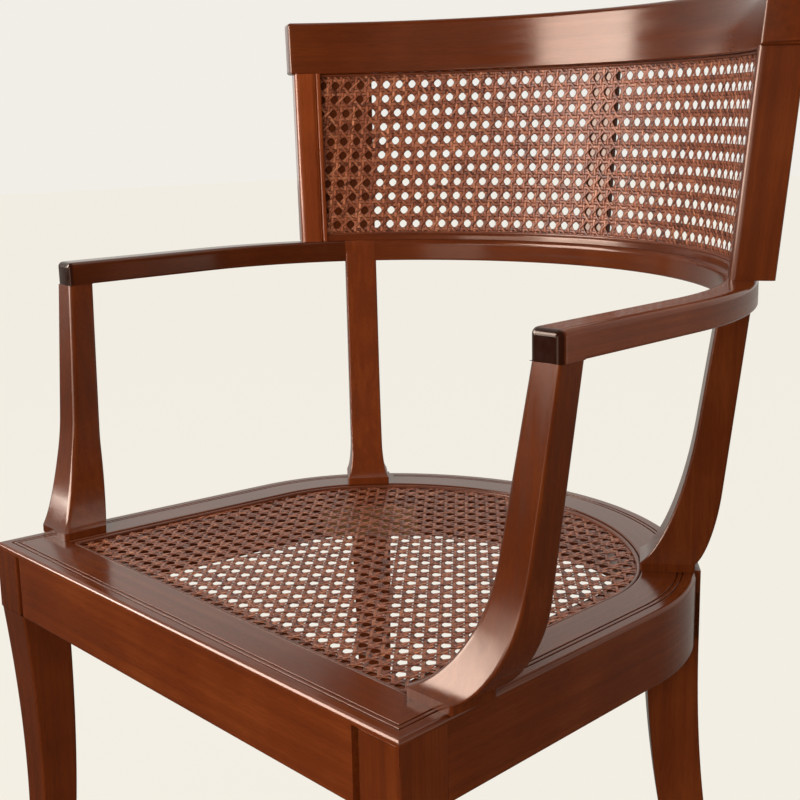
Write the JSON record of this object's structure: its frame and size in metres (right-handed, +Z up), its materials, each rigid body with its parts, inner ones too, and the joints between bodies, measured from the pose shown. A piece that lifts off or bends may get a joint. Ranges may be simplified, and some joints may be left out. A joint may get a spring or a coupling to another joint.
{
  "type": "klismos armchair",
  "caption": "Open-arm klismos chair with a polished wooden frame, a bowed arm rail on flared posts, sabre legs, a caned seat and a curved caned back.",
  "frame": {"origin": "on the floor under the middle of the chair's box", "axes": "+X to the chair's left side as seen from the front, so to the right of the picture; +Y towards the back; +Z up"},
  "size_m": [0.5596, 0.5163, 0.864],
  "materials": {
    "polished_wood": "semi-gloss stained lacquer",
    "reed_spline": "satin stained lacquer",
    "woven_cane": "satin stained cane",
    "steel": "bright zinc",
    "inner_wood": "raw",
    "dowel_wood": "raw"
  },
  "bodies": {
    "root": {"front_seat_rail": "polished_wood", "left_seat_rail": "polished_wood", "right_seat_rail": "polished_wood", "back_seat_rail": "polished_wood", "front_left_leg": "polished_wood", "front_right_leg": "polished_wood", "rear_left_leg": "polished_wood", "rear_right_leg": "polished_wood", "front_left_arm_post": "polished_wood", "front_right_arm_post": "polished_wood", "rear_left_arm_post": "polished_wood", "rear_right_arm_post": "polished_wood", "left_arm_rail": "polished_wood", "right_arm_rail": "polished_wood", "back_bow": "polished_wood", "left_stile": "polished_wood", "right_stile": "polished_wood", "crest_rail": "polished_wood", "lower_slip": "polished_wood", "left_back_upright": "polished_wood", "right_back_upright": "polished_wood", "middle_back_upright": "polished_wood", "seat_spline": "reed_spline", "back_spline": "reed_spline", "seat_cane": "woven_cane", "back_cane": "woven_cane", "front_left_glide": "steel", "front_right_glide": "steel", "rear_left_glide": "steel", "rear_right_glide": "steel", "corner_block_screws": "steel", "arm_post_screws": "steel", "stile_screws": "steel", "front_left_corner_block": "inner_wood", "front_right_corner_block": "inner_wood", "rear_left_corner_block": "inner_wood", "rear_right_corner_block": "inner_wood", "arm_post_dowels": "dowel_wood", "arm_rail_dowels": "dowel_wood", "crest_dowels": "dowel_wood"}
  },
  "joints": []
}
